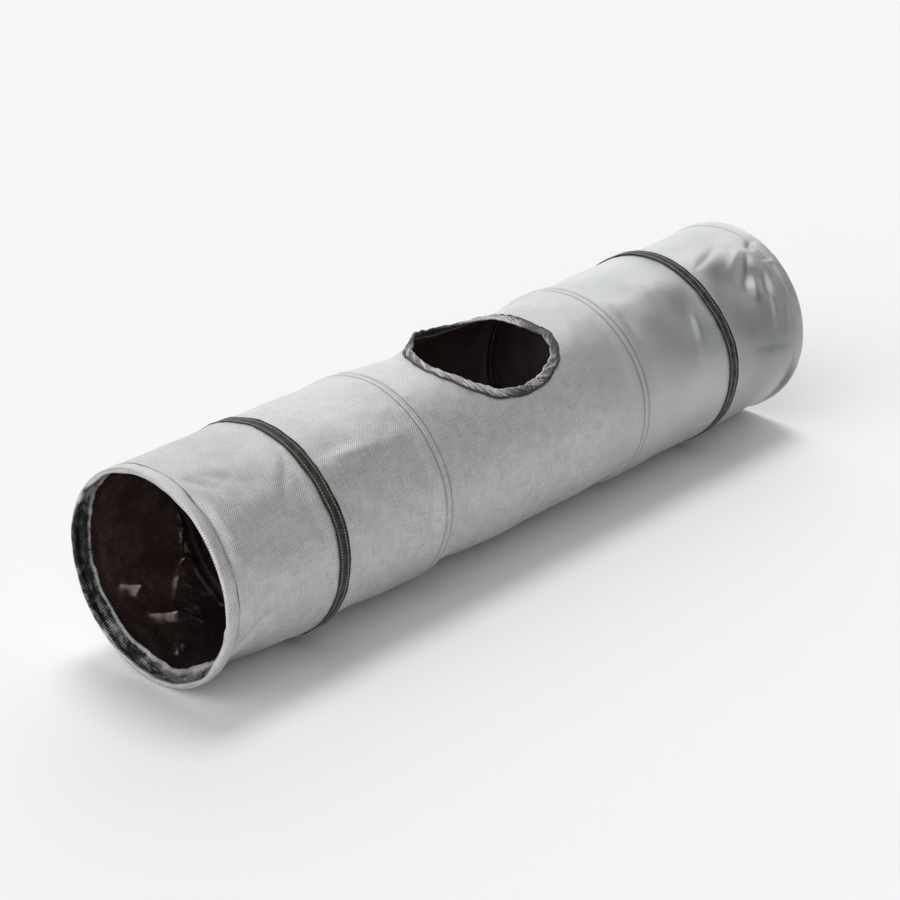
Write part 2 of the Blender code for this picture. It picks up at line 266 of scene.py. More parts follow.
view = {"azimuth": -46.990, "elevation": 24.126, "roll": -1.2095, "distance": 3.7494,
        "target": (-0.0368, 0, 0.1357), "lens": 106.87}
letGo()
bpy.ops.object.camera_add()
camera = bpy.context.object
camera.name = "photoCamera"
camera.data.sensor_width = 36
camera.data.lens = view["lens"]
camera.data.clip_end = 60
turns = (view["azimuth"], "Z"), (90 - view["elevation"], "X"), (view["roll"], "Z")
aim = Matrix.Translation(view["target"])
for degrees, axis in turns:
    aim = aim @ Matrix.Rotation(math.radians(degrees), 4, axis)
camera.matrix_world = aim @ Matrix.Translation((0, 0, view["distance"]))
bpy.context.scene.camera = camera
print("camera set")


# materials, written as sums on sockets

class Link:
    def __init__(self, paint, socket):
        self.paint, self.socket = paint, socket

    def sum(self, operation, *others):
        terms = dict(enumerate((self, *others)))
        if self.socket.type in ("VECTOR", "RGBA"):
            out = "Value" if operation == "DOT_PRODUCT" else "Vector"
            return self.paint.add("ShaderNodeVectorMath", {"operation": operation}, terms, out)
        return self.paint.add("ShaderNodeMath", {"operation": operation}, terms)

    def __add__(self, other):
        return self.sum("ADD", other)

    def __sub__(self, other):
        return self.sum("SUBTRACT", other)

    def __mul__(self, other):
        return self.sum("MULTIPLY", other)

    def __truediv__(self, other):
        return self.sum("DIVIDE", other)

    def __rsub__(self, other):
        return self.paint.add("ShaderNodeMath", {"operation": "SUBTRACT"}, {0: other, 1: self})

    __radd__, __rmul__ = __add__, __mul__


class Paint:
    def __init__(self, name, kind=bpy.data.materials):
        self.material = kind.new(name)
        self.material.use_nodes = True
        self.tree = self.material.node_tree
        self.shader = self.tree.nodes.get("Principled BSDF")

    def put(self, socket, value):
        if isinstance(value, Link):
            self.tree.links.new(value.socket, socket)
        elif socket.type == "RGBA" and len(value) == 3:
            socket.default_value = (*value, 1)
        else:
            socket.default_value = value

    def add(self, kind, settings=None, inputs=None, out=0):
        node = self.tree.nodes.new(kind)
        for name, value in (settings or {}).items():
            setattr(node, name, value)
        for name, value in (inputs or {}).items():
            self.put(node.inputs[name], value)
        return Link(self, node.outputs[out])

    def cloth(self):  # the flat map's two directions in millimetres
        lay = self.add("ShaderNodeUVMap", {"uv_map": "clothLay"})
        along = self.add("ShaderNodeSeparateXYZ", {}, {0: lay}, "X")
        return along * 1000, Link(self, along.socket.node.outputs["Y"]) * 1000

    def place(self):
        return self.add("ShaderNodeTexCoord", {}, {}, "Object")

    def painted(self, name):  # what paintOn wrote on the piece
        return self.add("ShaderNodeAttribute", {"attribute_name": name}, {}, "Fac")

    def speckle(self, scale, detail=3.0, rough=0.5, vector=None):
        values = {"Vector": vector or self.place(), "Scale": scale, "Detail": detail, "Roughness": rough}
        return self.add("ShaderNodeTexNoise", {}, values, "Fac")

    def ridges(self, value, period):  # rounded threads side by side, 0 between them and 1 on their crests
        return (value * (math.pi / period)).sum("SINE").sum("ABSOLUTE")

    def spread(self, x, y, z=0.0):
        return self.add("ShaderNodeCombineXYZ", {}, {"X": x, "Y": y, "Z": z})

    def blend(self, share, first, second):
        return self.add("ShaderNodeMix", {"data_type": "RGBA"}, {0: share, 6: first, 7: second}, 2)

    def between(self, value, low, high, toLow=0.0, toHigh=1.0):
        return self.add("ShaderNodeMapRange", {"interpolation_type": "SMOOTHSTEP"},
                        {0: value, 1: low, 2: high, 3: toLow, 4: toHigh})

    def relief(self, height, depth):
        return self.add("ShaderNodeBump", {}, {"Strength": 1.0, "Distance": depth, "Height": height})

    def finish(self, **values):
        for name, value in values.items():
            self.put(self.shader.inputs[name.replace("_", " ")], value)
        return self.material

    def basket(self, along, around, cell, threads):
        # a basket weave: groups of threads pass over and under each other
        a, b = along / cell, around / cell
        over = (a.sum("FLOOR") + b.sum("FLOOR")).sum("FLOORED_MODULO", 2.0)

        def crown(run, side):
            arch = (run.sum("FRACT") * math.pi).sum("SINE") * 0.45 + 0.55
            return arch * (side * math.pi * threads).sum("SINE").sum("ABSOLUTE")
        return crown(a, b) * over + crown(b, a) * (1 - over), over


def silverCloth():
    look = {"cell": 1.95, "threads": 2, "light": (0.7, 0.7, 0.688), "cool": (0.605, 0.635, 0.64),
            "gap": 0.3, "metal": 0.66, "weaveDepth": 0.0002, "rough": 0.4,
            "dim": (0.085, 0.094, 0.094), "deep": (0.026, 0.027, 0.024)}
    p = Paint("silverCloth")
    along, around = p.cloth()
    weave, over = p.basket(along, around, look["cell"], look["threads"])
    slubA = p.speckle(1.0, 2.0, vector=p.spread(along / 26, around / 1.6))
    slubB = p.speckle(1.0, 2.0, vector=p.spread(along / 1.6, around / 26, 5.0))
    slub = (slubA + slubB) * 0.5
    patch = p.speckle(9.0, 2.0)
    cloud = p.between(patch, 0.4, 0.68) * p.between(along, 60, 330, 0.2, 1.0)  # the rear half is cooler
    # the weave shows most on the front half's near side, where its gaps are open, and least at the rear
    side = p.between(around, 55, 115) * p.between(along, 60, 220, 1.0, 0.0)
    gape = side * 0.3 + p.between(along, 60, 260, 0.58, 0.26)
    gape = gape * (p.speckle(60.0, 2.0) * 0.8 + 0.6)
    tint = p.blend(cloud, look["light"], look["cool"]) * (side * 0.2 + p.between(along, 60, 260, 0.98, 0.9))
    shade = p.between(weave * 0.5 + over * 0.4 + (slub - 0.5) * 1.1, 0.04, 0.82)
    woven = tint * (1.0 - (1.0 - shade) * gape * (1 - look["gap"]))
    # painted shade: the cloth darkens towards a grey where the painted attribute says
    colour = p.blend(p.painted("dim"), woven, look["dim"])
    # painted shade on the hem's inner leg under the rim, which faces the dark inside of the tunnel; only
    # raised threads keep the silver colour and stay bright
    mottle = p.speckle(1.0, 4.0, 0.6, p.spread(along / 7, around / 16))
    threads = p.ridges(around - along * 0.3, 3.4)
    shining = p.between(threads * 0.55 + mottle * 2.2 + (slub - 0.5) * 0.7, 1.18, 1.78)
    legShadeMask = p.between(p.painted("paintedLegShade") * (1.2 - shining * 0.78), 0.22, 0.9)
    rough = look["rough"] + (patch - 0.5) * 0.2 + (slub - 0.5) * 0.25
    height = weave + over * 0.25 + (slub - 0.5) * 0.8
    return p.finish(Base_Color=p.blend(legShadeMask, colour, look["deep"]), Roughness=rough,
                    Metallic=look["metal"], Normal=p.relief(height, look["weaveDepth"]))


def crinkleFilm(name, gloss, roughness, tone):
    look = {"deep": (0.036, 0.0175, 0.018), "worn": (0.058, 0.033, 0.032),
            "shade": (0.01, 0.0085, 0.0075), "shine": (1.0, 0.84, 0.83)}
    p = Paint(name)
    along, around = p.cloth()
    weave, _ = p.basket(along, around, 1.1, 1)
    cloud = p.speckle(22.0, 4.0, 0.6)
    fine = p.speckle(260.0, 2.0, 0.5)
    # a tone above 1 lightens the colour as painted light, for the film's lit copy
    deep, worn = (tuple(c * tone for c in look[k]) for k in ("deep", "worn"))
    colour = p.blend(p.between(cloud + (fine - 0.5) * 0.3, 0.35, 0.72), deep, worn)
    colour = p.blend(p.painted("shade"), colour, look["shade"])
    rough = roughness + (cloud - 0.5) * 0.2 + (fine - 0.5) * 0.08
    return p.finish(Base_Color=colour, Roughness=rough, IOR=gloss, Specular_Tint=look["shine"],
                    Normal=p.relief(weave * 0.4 + cloud * 2.5, 0.00006))


def wovenTape(name, dark, light, rough, slant, period, gleam, wearAndPaintedLight=False):
    p = Paint(name)
    along, around = p.cloth()
    ribs = p.ridges(along + around * slant, period)
    cross = p.ridges(around, 0.9)
    slub = p.speckle(1.0, vector=p.spread(along / 3, around / 9))
    cloud = p.speckle(40.0, 3.0)
    thread = ribs * 0.7 + cross * 0.3
    shade = thread * 0.7 + (slub - 0.5) * 1.0 + (cloud - 0.5) * 0.7
    if wearAndPaintedLight:  # a painted attribute makes the weave paler or darker: painted highlights and painted shade on the binding, darker lines and paler worn patches on the tapes
        shade = shade * 0.8 + p.painted("wearAndPaintedLight") * 0.9 - 0.2
    shade = p.between(shade, 0.1, 0.95)
    return p.finish(Base_Color=p.blend(shade, dark, light), Roughness=rough + (cloud - 0.5) * 0.12,
                    Normal=p.relief(thread + (slub - 0.5) * 0.6, 0.00022), Specular_IOR_Level=gleam)


def sewingThread(name, colour):
    p = Paint(name)
    twist = p.speckle(1400.0, 2.0)
    worn = p.speckle(60.0, 2.0)
    tint = p.blend(p.between(twist * 0.6 + worn * 0.6, 0.35, 0.85), tuple(c * 0.62 for c in colour), colour)
    return p.finish(Base_Color=tint, Roughness=0.55 + (worn - 0.5) * 0.2,
                    Normal=p.relief(twist, 0.0001), Sheen_Weight=0.2)


def springWire(name, colour, rough):
    p = Paint(name)
    drawn = p.speckle(420.0, 3.0)
    tarnish = p.speckle(30.0, 4.0, 0.6)
    tint = p.blend(p.between(tarnish, 0.4, 0.75), colour, tuple(c * 0.55 for c in colour))
    return p.finish(Base_Color=tint, Metallic=1.0, Normal=p.relief(drawn, 0.00004),
                    Roughness=rough + (tarnish - 0.5) * 0.3 + (drawn - 0.5) * 0.1)


def paperFloor(tone):
    p = Paint("paperFloor")
    grain = p.speckle(300.0, 2.0)
    colour = p.blend(grain, (tone, tone, tone - 0.003), (tone + 0.006, tone + 0.006, tone + 0.003))
    return p.finish(Base_Color=colour, Roughness=0.9, Specular_IOR_Level=0.1)


silver = silverCloth()
film = crinkleFilm("crinkleFilm", 2.45, 0.27, 1.0)
filmLitCopy = crinkleFilm("crinkleFilmLitCopy", 1.5, 0.55, 1.5)  # a copy of the film for where light falls in through the hole, duller and with painted light: its colour is 1.5 times lighter
tapeCloth = wovenTape("darkTwillTape", (0.004, 0.0045, 0.0035), (0.047, 0.051, 0.043),
                      0.6, 0.35, 3.2, 0.28, True)
bindingCloth = wovenTape("greyBindingTape", (0.02, 0.021, 0.018), (0.62, 0.62, 0.6),
                         0.45, 1.1, 3.1, 0.5, True)
casingCloth = wovenTape("casingStrip", (0.022, 0.011, 0.011), (0.048, 0.027, 0.026), 0.7, 0.6, 2.5, 0.3)
paleThread = sewingThread("paleThread", (0.46, 0.46, 0.43))
roseThread = sewingThread("roseThread", (0.85, 0.6, 0.55))
greyThread = sewingThread("greyThread", (0.085, 0.087, 0.083))
silverThread = sewingThread("silverThread", (0.5, 0.5, 0.49))
maroonThread = sewingThread("maroonThread", (0.05, 0.028, 0.026))
wireSteel = springWire("drawnSpringSteel", (0.46, 0.46, 0.47), 0.32)
sleeveSteel = springWire("sleeveSteel", (0.58, 0.57, 0.55), 0.4)
print("materials made")


# the form of the cloth, shared by all that lies on it

hole = {"x": -0.002, "arc": 0.018, "clear": 0.104, "width": 0.016, "margin": 0.004}

# by the way round the hole, where 0 is +X and 90 is -Y: how far its edge stands off the round, how far
# the edge is from the plain circle, how broad the binding looks from above, and how far out the lip falls
lipHeight = aroundTable([
    (-180, 1.5), (-170, 4), (-160, 5.8), (-150, 6.6), (-140, 7.2), (-130, 8.6), (-120, 10), (-110, 11.2),
    (-100, 12.4), (-90, 11.2), (-79, 9), (-70, 6.6), (-54, 2), (-44, -0.8), (-32, -2.4), (-20, -7.8),
    (-6, -9.8), (8, -8.8), (24, -2.2), (45, 1.5), (90, 0), (150, 0.2), (170, 0.6)])
edgeShift = aroundTable([
    (-180, 0.4), (-170, -2.6), (-162, -6), (-150, -16.2), (-140, -19.5), (-130, -20), (-120, -18.2),
    (-110, -13.8), (-100, -6.4), (-88, 0), (-40, 0), (0, -3), (22, 4.5), (32, 7.5), (46, 6), (62, 2.2),
    (85, -2), (110, -3.5), (130, -5.5), (150, -6), (163, -1.5), (172, 1)])
bindingSpan = aroundTable([
    (-180, 1), (-168, 1), (-155, 0.8), (-140, 0.62), (-125, 0.45), (-108, 0.42), (-90, 0.6), (-70, 0.85),
    (-45, 1), (0, 1), (90, 1), (140, 1.12), (165, 1.05)], 1)
lipReach = aroundTable([
    (-180, 45), (-160, 34), (-130, 25), (-100, 24), (-70, 22), (-45, 26), (-20, 45), (0, 60), (90, 45)])
lipSharp = aroundTable([
    (-180, 0), (-165, 0), (-148, 0.5), (-132, 1), (-35, 1), (-15, 0.4), (0, 0), (90, 0)], 1)


def holeSpot(x, turn):  # distance out from the hole's edge, and direction from its middle
    dx = x - hole["x"]
    ds = turn * tunnel["arcRadius"] - hole["arc"]
    way = np.arctan2(ds, dx)
    return np.hypot(dx, ds) - hole["clear"] - edgeShift(way), way


def holeEdge(way, out):  # the other way: x and turn at a distance out from the hole's edge
    reach = hole["clear"] + edgeShift(way) + out
    return hole["x"] + reach * np.cos(way), (hole["arc"] + reach * np.sin(way)) / tunnel["arcRadius"]


# x from, turn from, x to, turn to, depth, half width: soft creases; a plus depth is a valley
creases = laidOut([
    (-566, 115, -518, 101, 6.2, 8), (-512, 98, -470, 128, 3, 9), (-560, 96, -545, 122, -3, 7),
    (-545, 20, -470, 38, 2, 12), (-572, 16, -540, 30, 2.6, 6), (-425, 30, -470, 52, 1.6, 10),
    (-385, 40, -240, 44, -3.4, 13), (-392, 42, -350, 46, -2.2, 5), (-385, 60, -320, 78, 1.8, 12),
    (-300, 95, -230, 84, 2, 12), (-185, 40, -120, 62, 2.4, 14), (-180, 100, -90, 118, 2.4, 14),
    (190, 118, 120, 104, 3, 12), (185, 60, 130, 44, 2.2, 14), (160, 132, 215, 120, 3, 8),
    (245, 26, 245, 58, 1.8, 10), (376, 50, 360, 72, -3.4, 6), (340, 4, 330, 34, 2.2, 14),
    (446, 24, 520, 15, 3, 9), (552, 30, 516, 50, 7.2, 10), (546, 24, 500, 34, -3, 8),
    (538, 43, 520, 56, -4.6, 5), (572, 38, 594, 43, -3.6, 4), (560, 44, 548, 58, 6, 7),
    (548, 60, 538, 77, -5, 5), (484, 84, 588, 92, 2.6, 10), (500, 64, 470, 74, 2.2, 12),
    (575, 66, 560, 92, 2.6, 7), (590, 20, 566, 27, 3.4, 6), (450, 100, 500, 112, 2.4, 12)], turns=(1, 3))
# x, turn, half length, half width and depth of the broad flats that slack cloth falls into
flats = laidOut([
    (490, 44, 48, 48, 9.5), (350, 46, 46, 48, 6.2), (545, 72, 30, 40, 3), (150, 62, 45, 50, 2.6),
    (-130, 62, 50, 40, 2.4), (-300, 66, 60, 40, 2.4), (-490, 62, 50, 40, 2.6), (-545, 112, 26, 30, 3),
    (-300, 4, 50, 50, 1.6), (470, -30, 40, 60, 3), (540, -75, 30, 60, 4), (300, -70, 60, 60, 3),
    (-300, -80, 60, 60, 2.8), (-500, -70, 50, 60, 3)], turns=(1,))
# x, arc, depth, how far it spreads before, after and across
slackDips = laidOut([(-78, -86, 8.5, 80, 45, 50), (110, -85, 6, 60, 70, 55)])
# the same with turns: where the slack cloth tucks in low on the near side
lowTucks = laidOut([
    (-558, 142, 15, 18, 78, 52), (-350, 150, 4, 30, 50, 50), (-165, 149, 7.5, 22, 50, 46),
    (188, 149, 5.5, 40, 16, 40)], turns=(1,))
hemGroove = aroundTable([
    (-180, 0.4), (-20, 0.6), (8, 1.4), (22, 1.2), (36, 5), (60, 6.6), (69, 3), (76, 0.6), (92, 0.8),
    (106, 1.8), (122, 4.4), (148, 5.6), (168, 2.2)])
hemDrift = aroundTable([
    (-180, 0), (-40, 0), (-10, -1.6), (12, 1), (26, -1.4), (44, 2.2), (64, 1.6), (80, -1), (110, 0.6),
    (150, 0)])
seams = {"rowApart": 0.011, "tapeRowApart": 0.0108, "stitch": 0.0038, "pitch": 0.0043, "thread": 0.0007,
         "tapeThread": 0.0009, "innerThread": 0.0011, "holeThread": 0.001, "joinTurns": (-2.3, -2.335)}
seamDrift = aroundTable([
    (-180, 0), (-120, -1.2), (-60, -2), (-20, -2.4), (20, -1.2), (50, 0.6), (80, 2.4), (120, 2.2),
    (150, 1)])
frontTapeDrift = aroundTable([
    (-180, 1), (-120, -2), (-60, -2), (-30, 0), (-12, -2.8), (8, 0.6), (30, 1.2), (52, 2), (75, 5.2),
    (95, 6), (118, 5.2), (140, 2)])
rearTapeDrift = aroundTable([
    (-180, 1), (-120, -1), (-60, -4), (-20, -6), (5, -6.6), (28, -7.8), (46, -6.6), (66, -0.8), (76, 2.4),
    (90, 4.6), (115, 5.6), (140, 3)])
drifts = {"frontTape": frontTapeDrift, "frontSeam": seamDrift,
          "rearSeam": seamDrift, "rearTape": rearTapeDrift}
# crisp soft facets, strongest behind the last tape: cell, seed and height of each part's
facets = {("frontRim", "frontTape"): (0.052, 3, 0.0024), ("frontTape", "rearTape"): (0.075, 8, 0.0024),
          ("rearTape", "rearRim"): (0.048, 21, 0.0046)}
outerFolds = [crumple(tunnel[a], tunnel[b], cell, seed) for (a, b), (cell, seed, _) in facets.items()]


def hemShift(turn, way):  # only the front hem's stitch line wanders
    return hemDrift(turn) if way > 0 else 0 * turn


def besideRow(x, turn, ring):  # how far a place is from the middle of a plain seam's two rows
    return np.abs(x - tunnel[ring] - seamDrift(turn))


def besideLine(x, s, ax, aArc, bx, bArc):
    # how far along a crease a place is, from 0 to 1, and how far it lies from the crease's line
    dx, ds = bx - ax, bArc - aArc
    long = math.hypot(dx, ds)
    return ((x - ax) * dx + (s - aArc) * ds) / long ** 2, np.abs((x - ax) * ds - (s - aArc) * dx) / long


def flatSpot(x, s, cx, cArc, long, wide, power):
    return np.exp(-(((x - cx) / long) ** 2 + ((s - cArc) / wide) ** 2) ** power)


def dipAt(x, s, cx, cArc, depth, before, after, across):
    along = (x - cx) / np.where(x < cx, before, after)
    return depth * np.exp(-along ** 2 - ((s - cArc) / across) ** 2)


def clothRadius(x, turn):  # the outer face of the silver cloth
    x, turn = (np.asarray(v, float).ravel() for v in np.broadcast_arrays(x, turn))
    s = turn * tunnel["arcRadius"]
    stops = np.array([tunnel[k] for k in rings])
    i = np.clip(np.searchsorted(stops, x) - 1, 0, 4)
    low, high = stops[i], stops[i + 1]
    t = np.clip((x - low) / (high - low), 0, 1)
    free = np.sin(np.pi * t) ** 0.6  # 0 at the hoops
    near = np.minimum(x - low, high - x)  # distance to the nearer hoop
    hold = swell(near, 0.01, 0.03)
    radius = np.full(x.shape, tunnel["clothOuter"])
    under = swell(-np.cos(turn), 0.8, 0.97)  # where the tunnel lies on the floor
    farTop = bell(np.degrees(turn), -33, 45)  # the edge seen against the backdrop
    sag = np.array([0.0012, 0.0014, 0.0026, 0.002, 0.0026])[i] * (0.62 + 0.38 * np.cos(turn))
    sag = sag + np.array([-0.0026, -0.0016, 0.0, 0.0006, -0.0014])[i] * farTop
    radius -= sag * free * (1 - under)
    radius += 0.0014 * wander(x, turn, 0.075, 1) * hold
    radius += 0.0009 * wander(x, turn, 0.03, 2) * hold
    # small gathers where the cloth meets a hoop
    gather = np.exp(-np.maximum(near - 0.006, 0) / 0.016) * swell(near, 0.002, 0.012)
    radius += 0.0011 * gather * wander(x * 0.35, turn, 0.011, 3)
    part = np.searchsorted([tunnel["frontTape"], tunnel["rearTape"]], x, side="right")
    folds = np.zeros(x.shape)
    for k, read in enumerate(outerFolds):
        if (part == k).any():
            folds[part == k] = read(x[part == k], turn[part == k])
    amount = np.array([height for _, _, height in facets.values()])[part]
    rearLight = np.where(part == 2, 0.45 + 0.55 * swell(x, 0.46, 0.54), 1)
    radius -= amount * folds * hold * rearLight
    for *line, depth, wide in creases:
        k, off = besideLine(x, s, *line)
        along = np.clip(1 - ((k - 0.5) / 0.68) ** 2, 0, 1) ** 1.2
        spread = wide * (0.6 + 0.6 * np.clip(k, 0, 1))
        radius -= depth * along * np.exp(-(off / spread) ** 1.6) * swell(near, 0.004, 0.016)
    for *spot, depth in flats:
        radius -= depth * flatSpot(x, s, *spot, 1.6) * swell(near, 0.004, 0.02)
    # plain seams: a groove where the panels meet and a dip under each row of stitches
    for ring in ("frontSeam", "rearSeam"):
        off = np.abs(x - tunnel[ring])
        radius -= 0.0004 * bell(off, 0, 0.0011)
        radius -= 0.0008 * bell(besideRow(x, turn, ring), seams["rowApart"] / 2, 0.0014)
        radius += 0.0004 * bell(off, 0, 0.0045) * (0.6 + 0.4 * wander(x, turn, 0.02, 6))
    # a groove beside each hem's outer stitches, deepest where the front mouth's cloth folds over
    for rim, way, deep, broad in (("frontRim", 1, hemGroove(turn), 0.0085), ("rearRim", -1, 0.0003, 0.004)):
        off = (x - tunnel[rim]) * way - 0.0204 - hemShift(turn, way)
        radius -= deep * np.exp(-np.abs(off / np.where(off > 0, broad, 0.0034)) ** 1.7)
    # round the hole the cloth is slack: its far edge stands up, its rear edge droops and beside it it sinks
    out, way = holeSpot(x, turn)
    inMiddle = swell(x, -0.198, -0.16) * (1 - swell(x, 0.165, 0.212))
    steep = (1 - np.clip(out / lipReach(way), 0, 1)) ** 1.5  # on the far side the edge is turned up
    gentle = 1 - swell(out, 0.004, lipReach(way))
    radius += lipHeight(way) * (gentle + (steep - gentle) * lipSharp(way)) * inMiddle
    for dip in slackDips:
        radius -= dipAt(x, s, *dip) * inMiddle * swell(out, 0.004, 0.03)
    for dip in lowTucks:
        radius -= dipAt(x, s, *dip) * swell(near, 0.006, 0.022)
    return np.where(under > 0, np.minimum(radius, tunnel["floorReach"]), radius)


def thicken(piece, thick):  # the wall goes inwards from the outer face
    faceOut(piece)
    face = piece.data.polygons[len(piece.data.polygons) // 3]
    outward = Vector((0, face.center.y, face.center.z - tunnel["axisHeight"]))
    if face.normal.dot(outward) < 0:  # an open tube's outer side must face away from its axis
        inEditMode(piece, bpy.ops.mesh.flip_normals)
    applyModifier(piece, "SOLIDIFY", thickness=thick, offset=-1.0, use_rim=True, use_even_offset=False)


def dress(piece, material, body, replaced=(), bay=None):
    piece.data.materials.clear()
    piece.data.materials.append(material)
    layCloth(piece)
    pick(piece)
    bpy.ops.object.shade_smooth()
    if replaced:
        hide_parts(*replaced)
    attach(piece, body)
    if bay:
        spanOf(bay, "Cloth")[0]
        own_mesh(piece)


# each bay: the hoops at its ends, the share of its length that is left when it is folded flat, and for its
# cloth and its lining the faces round it and the step along it; a lively lining is crisp and glossy
bays = {
    "frontEnd": {"stem": "front_end", "ends": ("frontRim", "frontTape"), "keep": 0.133,
                 "cloth": (250, 0.0036), "lining": (440, 0.0021), "lively": True},
    "front": {"stem": "front", "ends": ("frontTape", "frontSeam"), "keep": 0.104,
              "cloth": (250, 0.0036), "lining": (360, 0.0026), "lively": True},
    "middle": {"stem": "middle", "ends": ("frontSeam", "rearSeam"), "keep": 0.0407,
               "cloth": (280, 0.0034), "lining": (300, 0.0034), "lively": False},
    "rear": {"stem": "rear", "ends": ("rearSeam", "rearTape"), "keep": 0.104,
             "cloth": (250, 0.0036), "lining": (300, 0.0032), "lively": False},
    "rearEnd": {"stem": "rear_end", "ends": ("rearTape", "rearRim"), "keep": 0.1475,
                "cloth": (320, 0.0028), "lining": (340, 0.0028), "lively": True},
}


lining = {"coarse": 0.044, "fine": 0.017, "tiny": 0.0095, "deep": 0.0062, "shallow": 0.0026, "crisp": 0.0009,
          "calmShare": 0.35}  # cells of its facets, their depths, and what is left of them in a calm lining


# how far a sheet stops short of the hoop at a rim, and of any other hoop
shortOf = {"Cloth": (0.0203, 0.00015), "Crinkle": (0.0056, 0.0023)}


def spanOf(bay, layer):
    low, high = bays[bay]["ends"]
    gapLow, gapHigh = (shortOf[layer]["Rim" not in end] for end in (low, high))
    return round(tunnel[low] + gapLow, 5), round(tunnel[high] - gapHigh, 5)


def stationsBetween(low, high, step, tightEnds):
    # rings closer together beside a hoop, where the seam's grooves and gathers are
    tight = [0, 0.0007, 0.0014, 0.0024, 0.0034, 0.0044, 0.0054, 0.0064, 0.0076, 0.0092, 0.0112, 0.0136]
    first = [low + t for t in tight] if tightEnds else [low]
    last = [high - t for t in reversed(tight)] if tightEnds else [high]
    count = max(2, round((last[0] - first[-1]) / step))
    return first + [first[-1] + (last[0] - first[-1]) * k / count for k in range(1, count)] + last


# x from, turn from, x to, turn to, height, half width: sharp creases of the lining, standing inwards
filmCreases = laidOut([
    (-419, -99, -428, -112, 9.2, 3.4), (-437, -102, -411, -107, 7.2, 3.2),
    (-427, -111, -443, -122, 5.2, 2.8), (-466, -138, -420, -151, 5.2, 3),
    (-466, -133, -430, -146, 3, 2.6), (-472, -116, -424, -124, 4.2, 2.8),
    (-441, -120, -480, -139, 6.2, 4.3), (-514, -118, -442, -120, 6.5, 6),
    (-442, -120, -417, -126, 7.8, 5.4), (-540, -120, -504, -129, 9.3, 7.2),
    (-530, -128, -512, -120, 6.2, 4.8), (-522, -141, -472, -156, 11.6, 7.2),
    (-500, -150, -485, -141, 6.2, 4.8), (-538, -170, -520, -163, 8.5, 4.8),
    (-450, -60, -500, -72, 4.7, 7.2), (-470, 170, -430, 160, 9.3, 6), (-360, -120, -300, -135, 5, 5),
    (-330, -95, -260, -104, 5, 6), (10, -112, 60, -124, 5, 5), (80, -96, 120, -118, 5, 5),
    (-80, -130, 10, -126, 5, 6), (110, -140, 160, -128, 6, 5)], turns=(1, 3))


def filmStands(x, turn):
    height = np.zeros(x.shape)
    for *line, tall, wide in filmCreases:
        k, off = besideLine(x, turn * tunnel["arcRadius"], *line)
        height += tall * np.clip(1 - ((k - 0.5) / 0.62) ** 2, 0, 1) * np.exp(-(off / wide) ** 1.15)
    return height


def cutHole(piece):  # takes out the faces inside the hole and rounds the edge left
    mesh, margin = piece.data, hole["margin"]
    inside = holeSpot(*layOut(piece))[0] < margin
    inEditMode(piece, lambda: bpy.ops.mesh.delete(type="FACE"), "FACE",
               lambda face: any(inside[v] for v in face.vertices))
    x, turn = layOut(piece)
    uses = np.bincount(readAll(mesh.loops, "edge_index"), minlength=len(mesh.edges))
    rim = {v for edge in mesh.edges if uses[edge.index] == 1 for v in edge.vertices}
    out, way = holeSpot(x, turn)
    edge = [v for v in rim if out[v] < margin + 0.012]
    x[edge], turn[edge] = holeEdge(way[edge], margin)
    spots = readSpots(piece)
    writeSpots(piece, onRound(x, turn, np.hypot(spots[:, 1], spots[:, 2] - tunnel["axisHeight"])))


# x, turn, half length, half width, strength: patches of painted shade on the silver cloth
paintedShadeSpots = laidOut([
    (505, 100, 85, 85, 0.3), (575, 90, 26, 60, 0.14), (541, 40, 12, 16, 0.45), (521, 53, 12, 18, 0.45),
    (488, 31, 30, 26, 0.36), (546, 38, 10, 20, 0.36), (520, 74, 70, 55, 0.3), (452, 52, 30, 60, 0.2),
    (365, 38, 32, 26, 0.34), (330, 62, 85, 50, 0.2), (285, 44, 24, 22, 0.16), (-520, 0, 75, 75, 0.15),
    (-460, -10, 60, 60, 0.08), (-330, 50, 60, 14, 0.08), (585, 122, 14, 40, 0.75),
    (575, 50, 20, 50, 0.22)], turns=(1,), plain=(4,))


def paintedShadeOf(x, turn):
    # painted shade on the silver cloth, from 0 to 0.85: the patches above, the grooves of the stitch rows and
    # the groove of the front hem
    s = turn * tunnel["arcRadius"]
    dim = np.zeros(x.shape)
    for *spot, strength in paintedShadeSpots:
        dim += strength * flatSpot(x, s, *spot, 1.5)
    for ring in ("frontSeam", "rearSeam"):  # painted shade along each row of stitches, where the cloth is puckered into a groove
        dim += 0.42 * bell(besideRow(x, turn, ring), seams["rowApart"] / 2, 0.0013)
    # painted shade in the groove beside the front hem's outer stitches, strongest where that groove is deep
    off = x - tunnel["frontRim"] - 0.02 - hemDrift(turn)
    dim += 0.6 * np.clip(hemGroove(turn) / 0.006 - 0.15, 0, 1) * bell(off, 0, 0.0015)
    return np.clip(dim, 0, 0.85)


def sheetOf(piece, low, high, bay):  # works out a panel's cut size and its hoops' names, and nothing uses them
    ease = 1.01
    size = (girth * ease, (high - low) * ease)
    opening = math.pi * hole["clear"] ** 2 if bay == "middle" else 0
    size[0] * size[1] - opening
    [rings[end] + "_hoop" for end in bays[bay]["ends"]]


def bayTube(bay, name, span, cut, tightEnds):
    tube = openTube(bay + name, stationsBetween(*span, cut[1], tightEnds), tunnel["clothOuter"], cut[0])
    if bay == "middle":
        cutHole(tube)
    return tube, *layOut(tube)


